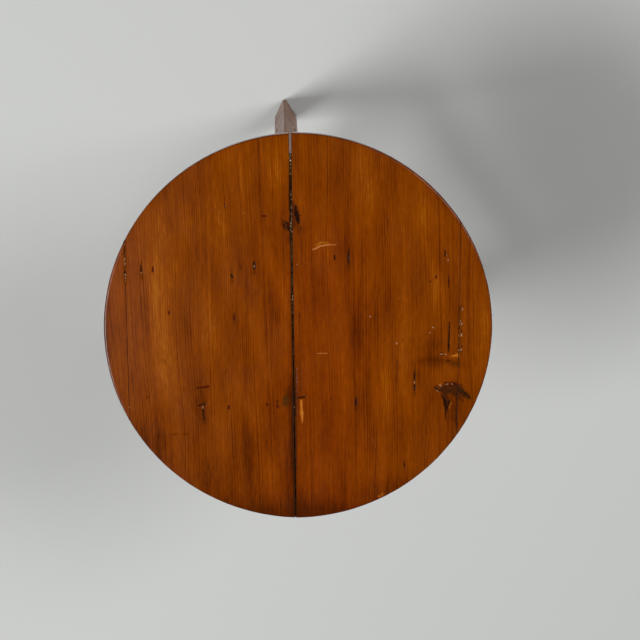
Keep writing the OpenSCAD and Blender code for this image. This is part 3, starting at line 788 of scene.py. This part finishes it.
def refine(bm, reach, cuts, widest):
    """Cuts the upper face finer round the strokes whose half width is under the widest."""
    boxes = [(min(x1, x2) - reach, max(x1, x2) + reach, min(y1, y2) - reach, max(y1, y2) + reach)
             for *_, parts in MARK_PAINTS for *_, (x1, y1, half1, x2, y2, half2) in parts
             if max(half1, half2) < widest]
    near = set()
    for face in bm.faces:
        if face.normal.z > 0.5:
            x, y, z = face.calc_center_median()
            if z > TOP_THICKNESS - 1 and any(x0 < x < x1 and y0 < y < y1 for x0, x1, y0, y1 in boxes):
                near.update(face.edges)
    bmesh.ops.subdivide_edges(bm, edges=list(near), cuts=cuts, use_grid_fill=True)


def stroke_share(x, y, part, softness):
    """How far inside a tapering stroke a place lies: 1 well inside, 0 outside."""
    x1, y1, half1, x2, y2, half2 = part
    run = Vector((x2 - x1, y2 - y1))
    share = min(1, max(0, Vector((x - x1, y - y1)).dot(run) / run.length_squared))
    half = half1 + (half2 - half1) * share
    away = math.hypot(x - x1 - share * run.x, y - y1 - share * run.y)
    return min(1, max(0, (1 + softness / 2 - away / half) / softness))


def paint_marks(board_x, board_y):
    """Colour times cover, cover, and depth of the marks at a place on the top."""
    red = green = blue = covered = depth = 0
    shift_x = MARK_WANDER[0] * ripple(board_x / 2.5, board_y / 6, 1)
    shift_y = MARK_WANDER[1] * ripple(board_x / 2.5, board_y / 6, 9)
    for colour, cover, deep, softness, ragged, parts in MARK_PAINTS:
        x = board_x + ragged * shift_x
        y = board_y + ragged * shift_y
        patchy = 1 - MARK_PATCHINESS * ragged * (1 + ripple(board_x / 1.7, board_y / 2.6, 4))
        for low_x, high_x, low_y, high_y, part in parts:
            if low_x < x < high_x and low_y < y < high_y:
                share = stroke_share(x, y, part, softness)
                paint = share * cover * patchy
                red, green, blue = (p * (1 - paint) + c * paint for p, c in zip((red, green, blue), colour))
                covered = covered * (1 - paint) + paint
                depth = max(depth, deep * share * share)
    return (red, green, blue, covered), depth


def grime_and_shade_over(paint, held):
    """Marks with a dark laid over a share of them: grime at the joints, grime and painted shade at the rim.
    """
    return [p * (1 - held) + g * held for p, g in zip(paint, linear(GRIME_AND_RIM_SHADE))]


def patch_tone(x, y):
    """How much paler or darker the top is at a place: worn polish, and painted shade towards the bottom."""
    total = 0
    for middle_x, middle_y, width, length, lean, amount in PATCHES:
        along = (y - middle_y) / length
        across = (x - middle_x - lean * (y - middle_y)) / width
        if abs(along) < 2.5 and abs(across) < 2.5:
            total += amount * math.exp(-across * across - along * along)
    return PATCH_STRENGTH * total


def ruddy_share(x, y):
    """The wood is redder for about 95 to either side of x 35, but not at the back, from about y 190."""
    return 0.7 * math.exp(-((x - 35) / 95) ** 2) / (1 + math.exp((y - 190) / 30))


def grain_place(x, y, seed):
    """Where a place lies across the growth lines, which lean a little, sway, and bend round the knots."""
    place = x + 0.02 * y + 6 * ripple(x / 150, y / 260, seed)
    for knot_x, knot_y, width, length in BENDS:
        across = (x - knot_x) / width
        along = (y - knot_y) / length
        place -= BEND_STRENGTH * (x - knot_x) * math.exp(-across * across - along * along)
    return place + seed * 97


def build_board(name, node, shift, left, right, seed):
    """A board of the top: a disc cut at its joints, ringed for its worn edges, then thickened and gridded."""
    bm = new_wood()
    bmesh.ops.create_circle(bm, cap_ends=True, radius=TOP_RADIUS, segments=RIM_FACES,
                            matrix=Matrix.Translation((shift, 0, 0)))
    face = bm.faces[:]
    for width in RING_STEPS:
        bmesh.ops.inset_region(bm, faces=face, thickness=width, use_even_offset=True, use_boundary=True)
    joints = [(way, line) for way, line in ((-1, left), (1, right)) if line]
    for way, line in joints:
        for inside in (0, *JOINT_STEPS):
            cut(bm, (line[0] - way * inside, 0, 0), (way, -way * line[1], 0), 0.002, drop=inside == 0)
    raise_up(bm, TOP_THICKNESS)
    bmesh.ops.recalc_face_normals(bm, faces=bm.faces[:])
    low = max(line_at(left, y) for y in (-TOP_RADIUS, TOP_RADIUS)) if left else shift - TOP_RADIUS
    high = min(line_at(right, y) for y in (-TOP_RADIUS, TOP_RADIUS)) if right else shift + TOP_RADIUS
    slice_across(bm, 2, steps(0, TOP_THICKNESS, BOARD_STEPS[2]))
    slice_across(bm, 0, steps(low + 2, high - 2, BOARD_STEPS[0]))
    slice_across(bm, 1, steps(-TOP_RADIUS, TOP_RADIUS, BOARD_STEPS[1]))
    for finer in FINER:
        bm.normal_update()
        refine(bm, *finer)

    grain, tone, ruddy, marks = wood_layers(bm)
    bm.normal_update()
    for v in bm.verts:
        x, y, z = v.co
        end_grain = abs(v.normal.y) ** 3 if abs(v.normal.z) < 0.7 else 0
        rim = max(0, TOP_RADIUS - math.hypot(x - shift, y))
        joint = min(abs(x - line_at(line, y)) for way, line in joints)
        v[grain] = (grain_place(x, y, seed), y + seed * 531, z)
        v[tone] = patch_tone(x, y) - END_GRAIN_DARK * end_grain - RIM_DARK * math.exp(-rim / RIM_DARK_REACH)
        v[ruddy] = ruddy_share(x, y)
        worn = sum(deep * (1 + ripple(x / wide, y / long, seed + own))
                   for deep, wide, long, own in FACE_WAVES)
        v[marks] = (0, 0, 0, 0)
        if z > TOP_THICKNESS - CLOSE:
            v[marks], depth = paint_marks(x, y)
            worn += depth
            # The dark band on the rounded rim is grime and painted shade along the edge.
            if rim < RIM_GRIME_AND_SHADE:
                held = (0.4 + 0.3 * ripple(x / 12, y / 12, seed)) * (1 - rim / RIM_GRIME_AND_SHADE)
                v[marks] = grime_and_shade_over(v[marks], held)
        joint_round, reach = EDGE_JOINT_ROUND, EDGE_JOINT_GRIME
        if abs(x - MAIN_JOINT) < MAIN_JOINT_ZONE:
            joint_round, reach = MAIN_JOINT_ROUND, OPEN_END_GRIME if y > OPEN_FROM else MAIN_JOINT_GRIME
        if joint < reach:
            held = (0.7 + 0.5 * ripple(y / 5, seed, joint)) * (1 - joint / reach)
            v[marks] = grime_and_shade_over(v[marks], held)
        upper = TOP_THICKNESS - max(rounded(rim, RIM_ROUND), rounded(joint, joint_round)) - worn
        lower = max(rounded(rim, RIM_UNDER_ROUND), rounded(joint, joint_round))
        v.co.z = lower + (upper - lower) * z / TOP_THICKNESS
        knocked = RIM_KNOCKS * (1 + ripple(x / 30, y / 30, seed + z / 15)) * max(0, 1 - rim / RIM_ROUND)
        v.co.xy -= Vector((x - shift, y)).normalized() * knocked
        for way, line in joints:
            away = abs(x - line_at(line, y))
            if away < NIBBLE_REACH:
                nibble = JOINT_NIBBLE * (1 + ripple(y / 17, seed - way, z / 30))
                v.co.x -= way * nibble * (1 - away / NIBBLE_REACH)
    for face in bm.faces:
        face.material_index = 1 if face.normal.z < -0.8 else 0
    set_down(bm, name, to_top, [polished_top, raw_pine], [node])


left_edges = [(LEFT_JOINT + way * EDGE_GAP / 2, 0) for way in (-1, 1)]
right_edges = [(RIGHT_JOINT + way * EDGE_GAP / 2, 0) for way in (-1, 1)]
build_board("left_edge_board", "top_board_left_edge", TOP_SHRINK, None, left_edges[0], 1)
build_board("left_board", "top_board_left", TOP_SHRINK, left_edges[1], main_edge(-1), 2)
build_board("right_board", "top_board_right", -TOP_SHRINK, main_edge(1), right_edges[0], 3)
build_board("right_edge_board", "top_board_right_edge", -TOP_SHRINK, right_edges[1], None, 4)

# The dirt in the joints
# Wax, dust and crumbs of old filler have packed the joints. Only the main one is open, past the back leg,
# where it lets the light through. The main joint's dirt is near black, partly as painted shade deep in the
# gap.
MAIN_DIRT = (-316, OPEN_FROM)
EDGE_DIRT = {"left": (LEFT_JOINT, 146), "right": (RIGHT_JOINT, 174.5)}
EDGE_DIRT_DEPTH = 0.42
DIRT_THICKNESS = 3
DIRT_STEP = 2.5
# Dirt lies this far under the edges of the main joint's boards, and crumbs of it this far over the edges
DIRT_LAP = 0.3
CRUMB_LAP = 0.2
# A crumb's height as a share of the dirt's depth
CRUMB_HEIGHT = 0.55
# Crumbs: place along the joint, half length, half width, and how far across the joint from its left side
MAIN_CRUMBS = [(282.5, 1.3, 1.5, 0.5), (279, 1.5, 0.8, 0.3), (274.6, 1.9, 1.3, 0.55), (268.5, 1.2, 0.9, 0.6),
               (263, 0.9, 0.7, 0.35), (253.5, 1.5, 0.9, 0.55), (221, 1.9, 1.1, 0.5), (213, 1.2, 0.7, 0.7),
               (200, 2.8, 0.6, 0.7), (190, 2.4, 0.6, 0.75), (182, 2.6, 0.6, 0.7), (175.5, 2.8, 1.3, 0.35),
               (170, 2.6, 1.3, 0.3), (164.5, 1.4, 0.9, 0.15), (161.5, 1.3, 0.8, 0.8), (58, 1.8, 0.6, 0.6),
               (52, 2.6, 0.8, 0.5), (46, 1.6, 0.6, 0.4), (31, 1.2, 0.5, 0.6), (-38, 1.2, 0.5, 0.5),
               (-127, 0.9, 0.6, 0.6)]
LEFT_CRUMBS = [(143, 1.3, 0.6, 0.5), (126, 0.9, 0.5, 0.5), (119.5, 2.6, 0.5, 0.4), (112, 3.6, 0.45, 0.6),
               (94, 1.6, 0.9, 0.6), (88.5, 2.0, 0.5, 0.4), (83.5, 1.4, 0.5, 0.5), (-125, 1.4, 0.8, 0.5)]
RIGHT_CRUMBS = [(11, 1.2, 0.5, 0.8), (-9, 1.5, 0.5, 0.8), (-33, 1.2, 0.5, 0.7), (-20, 0.8, 0.4, 0.4)]
GAP_DIRT_AND_SHADE_TONES = ["#160903", "#3E2C12"]
EDGE_DIRT_TONES = ["#241004", "#4A2810"]
CRUMB_TONES = ["#553F26", "#C9A582"]


def packed_dirt(name, dark, pale, grit_mm):
    """Dull packed dust and wax, mottled from grit to grit."""
    material, tree = new_material(name)
    place = add(tree, "TexCoord").outputs["Object"]
    grit = add(tree, "TexNoise", {"Vector": place, "Scale": 1000 / grit_mm, "Detail": 3})
    spread = add(tree, "MapRange", {0: grit, 1: 0.35, 2: 0.62})
    colour = add(tree, "Mix", {0: spread, 6: linear(dark), 7: linear(pale)}, data_type="RGBA")
    shader = add(tree, "BsdfPrincipled", {"Base Color": colour.outputs[2], "Roughness": 0.9,
                                          "Specular IOR Level": 0.1})
    add(tree, "OutputMaterial", {"Surface": shader})
    return material


# The main joint's dark dirt is packed dirt and painted shade in the gap.
gap_dirt_and_shade = packed_dirt("packed_wax_dust_and_painted_shade", *GAP_DIRT_AND_SHADE_TONES, grit_mm=9)
edge_dirt = packed_dirt("packed_brown_wax", *EDGE_DIRT_TONES, grit_mm=5)
joint_crumb = packed_dirt("crumbled_old_filler", *CRUMB_TONES, grit_mm=6)


def pack_joint(name, left_at, right_at, start, end, depth_at, crumbs, dirt, seed):
    """A ragged strip of dirt between two joint edges, with crumbs bedded in it."""
    bm = bmesh.new()
    bmesh.ops.create_grid(bm, x_segments=3, y_segments=int((end - start) / DIRT_STEP), size=1)
    raise_up(bm, 1)
    for v in bm.verts:
        y = start + (end - start) * (v.co.y + 1) / 2
        share = (v.co.x + 1) / 2
        ragged = ripple(y / 5, share * 2, seed) + 0.6 * ripple(y / 22, 0, seed)
        v.co = Vector((left_at(y) * (1 - share) + right_at(y) * share, y,
                       TOP_THICKNESS - depth_at(y) * (1 + 0.35 * ragged) - (1 - v.co.z) * DIRT_THICKNESS))
    count = len(bm.faces)
    for i, (y, half_length, half_width, share) in enumerate(crumbs):
        middle = Vector((left_at(y) * (1 - share) + right_at(y) * share, y, TOP_THICKNESS - depth_at(y)))
        top = CRUMB_HEIGHT * depth_at(y)
        for v in bmesh.ops.create_icosphere(bm, subdivisions=3, radius=1)["verts"]:
            v.co *= 0.85 + 0.6 * ripple(*(v.co * 1.3 + Vector((seed, i * 7, 0))))
            v.co = middle + Vector((v.co.x * half_width, v.co.y * half_length, v.co.z * top))
            v.co.x = min(right_at(y) + CRUMB_LAP, max(left_at(y) - CRUMB_LAP, v.co.x))
    bm.faces.ensure_lookup_table()
    for i, face in enumerate(bm.faces):
        face.material_index = 1 if i >= count else 0
    set_down(bm, name, to_top, [dirt, joint_crumb], [])


def main_dirt_depth(y):
    """How deep the dirt lies in the main joint: 2.6, but less round y 110 and at the back end."""
    return 2.6 - 1.7 * math.exp(-((y - 110) / 75) ** 2) - 0.8 * math.exp(-((y - 280) / 20) ** 2)


main_left, main_right = main_edge(-1), main_edge(1)
pack_joint("main_joint_dirt",
           lambda y: line_at(main_left, y) - DIRT_LAP, lambda y: line_at(main_right, y) + DIRT_LAP,
           *MAIN_DIRT, main_dirt_depth, MAIN_CRUMBS, gap_dirt_and_shade, 5)
for side, crumbs in (("left", LEFT_CRUMBS), ("right", RIGHT_CRUMBS)):
    joint, reach = EDGE_DIRT[side]
    pack_joint(side + "_joint_dirt",
               lambda y: joint - EDGE_GAP, lambda y: joint + EDGE_GAP,
               -reach, reach, lambda y: EDGE_DIRT_DEPTH, crumbs, edge_dirt, 6)

# The nails
# Wrought nails, punched just below the boards' face and rusted nearly black. Their CAD nodes have the right
# shape and stay.
NAIL_TONES = ["#140B07", "#3B2010"]
# Patches of rust to the metre: each is about 1.1 mm wide
RUST_PATCHES = 900
RUST_PITS = 0.0002


def rusted_iron():
    """Iron under dark, matt rust that varies from patch to patch."""
    material, tree = new_material("rusted_wrought_iron")
    place = add(tree, "TexCoord").outputs["Object"]
    bloom = add(tree, "TexNoise", {"Vector": place, "Scale": RUST_PATCHES, "Detail": 4})
    colour = add(tree, "Mix", {0: bloom, 6: linear(NAIL_TONES[0]), 7: linear(NAIL_TONES[1])},
                 data_type="RGBA")
    pitted = add(tree, "Bump", {"Distance": RUST_PITS, "Height": bloom})
    shader = add(tree, "BsdfPrincipled", {"Base Color": colour.outputs[2], "Roughness": 0.8,
                                          "Specular IOR Level": 0.2, "Normal": pitted})
    add(tree, "OutputMaterial", {"Surface": shader})
    return material


refinish(("nails_back_right", "nails_back_left", "nails_front"), rusted_iron())

# The floor and the light
# A plain pale floor and large soft lamps to either side, so that the top shows its own colour. A dim panel
# gives its left edge a soft shine. The air is bright low down and dark overhead, where the polish mirrors it.
FLOOR_COLOUR = "#CFD1CF"
BACKDROP_COLOUR = "#D6D8D6"
FLOOR_HALF = 4
# The floor fades into the backdrop between these distances, in metres, so that no edge shows
FLOOR_FADE = (1.5, 3.6)
# Each lamp's place, side, power and target
LAMPS = {
    "soft_lamp_left": ((-3.9, -1.1, 5.5), 2.4, 318, (0, 0, 0.4)),
    "soft_lamp_right": ((3.7, 1.6, 5.4), 2.4, 165, (0, 0, 0.4)),
    "dim_panel_over_left_edge": ((-0.78, -0.43, 3.2), 0.62, 0.6, (-0.78, -0.43, 0)),
}

floor_mesh = bmesh.new()
bmesh.ops.create_grid(floor_mesh, x_segments=1, y_segments=1, size=FLOOR_HALF)
floor_data = bpy.data.meshes.new("studio_floor")
floor_mesh.to_mesh(floor_data)
floor_mesh.free()
floor = bpy.data.objects.new("studio_floor", floor_data)
scene.collection.objects.link(floor)
floor_paint, floor_tree = new_material("matt_pale_floor")
floor_shader = add(floor_tree, "BsdfPrincipled", {"Base Color": linear(FLOOR_COLOUR), "Roughness": 0.8,
                                                  "Specular IOR Level": 0.2})
floor_place = add(floor_tree, "TexCoord").outputs["Object"]
from_middle = add(floor_tree, "VectorMath", {0: floor_place}, operation="LENGTH").outputs["Value"]
fade = add(floor_tree, "MapRange", {0: from_middle, 1: FLOOR_FADE[0], 2: FLOOR_FADE[1]},
           interpolation_type="SMOOTHSTEP")
floor_mix = add(floor_tree, "MixShader", {0: fade, 1: floor_shader, 2: add(floor_tree, "BsdfTransparent")})
add(floor_tree, "OutputMaterial", {"Surface": floor_mix})
floor_data.materials.append(floor_paint)

for name, (place, size, power, target) in LAMPS.items():
    lamp = bpy.data.objects.new(name, bpy.data.lights.new(name, "AREA"))
    lamp.data.shape = "SQUARE"
    lamp.data.size = size
    lamp.data.energy = power
    lamp.location = place
    lamp.rotation_euler = (Vector(target) - Vector(place)).to_track_quat("-Z", "Y").to_euler()
    lamp.visible_camera = False
    scene.collection.objects.link(lamp)

world = bpy.data.worlds.new("studio_air")
world.use_nodes = True
air = world.node_tree
air.nodes.clear()
way = add(air, "SeparateXYZ", {0: add(air, "TexCoord").outputs["Generated"]})
from_below = add(air, "MapRange", {0: way.outputs["Z"], 1: 0, 2: 0.5, 3: 1, 4: 0.02})
from_back = add(air, "MapRange", {0: way.outputs["Y"], 1: -1, 2: 1, 3: 0.92, 4: 1.1})
air_light = add(air, "Math", {0: from_below, 1: from_back}, operation="MULTIPLY")
seen = add(air, "LightPath").outputs["Is Camera Ray"]
air_colour = add(air, "Mix", {0: seen, 6: air_light, 7: linear(BACKDROP_COLOUR)}, data_type="RGBA")
background = add(air, "Background", {"Color": air_colour.outputs[2], "Strength": 1})
add(air, "OutputWorld", {"Surface": background})
scene.world = world
scene.view_settings.view_transform = "Standard"
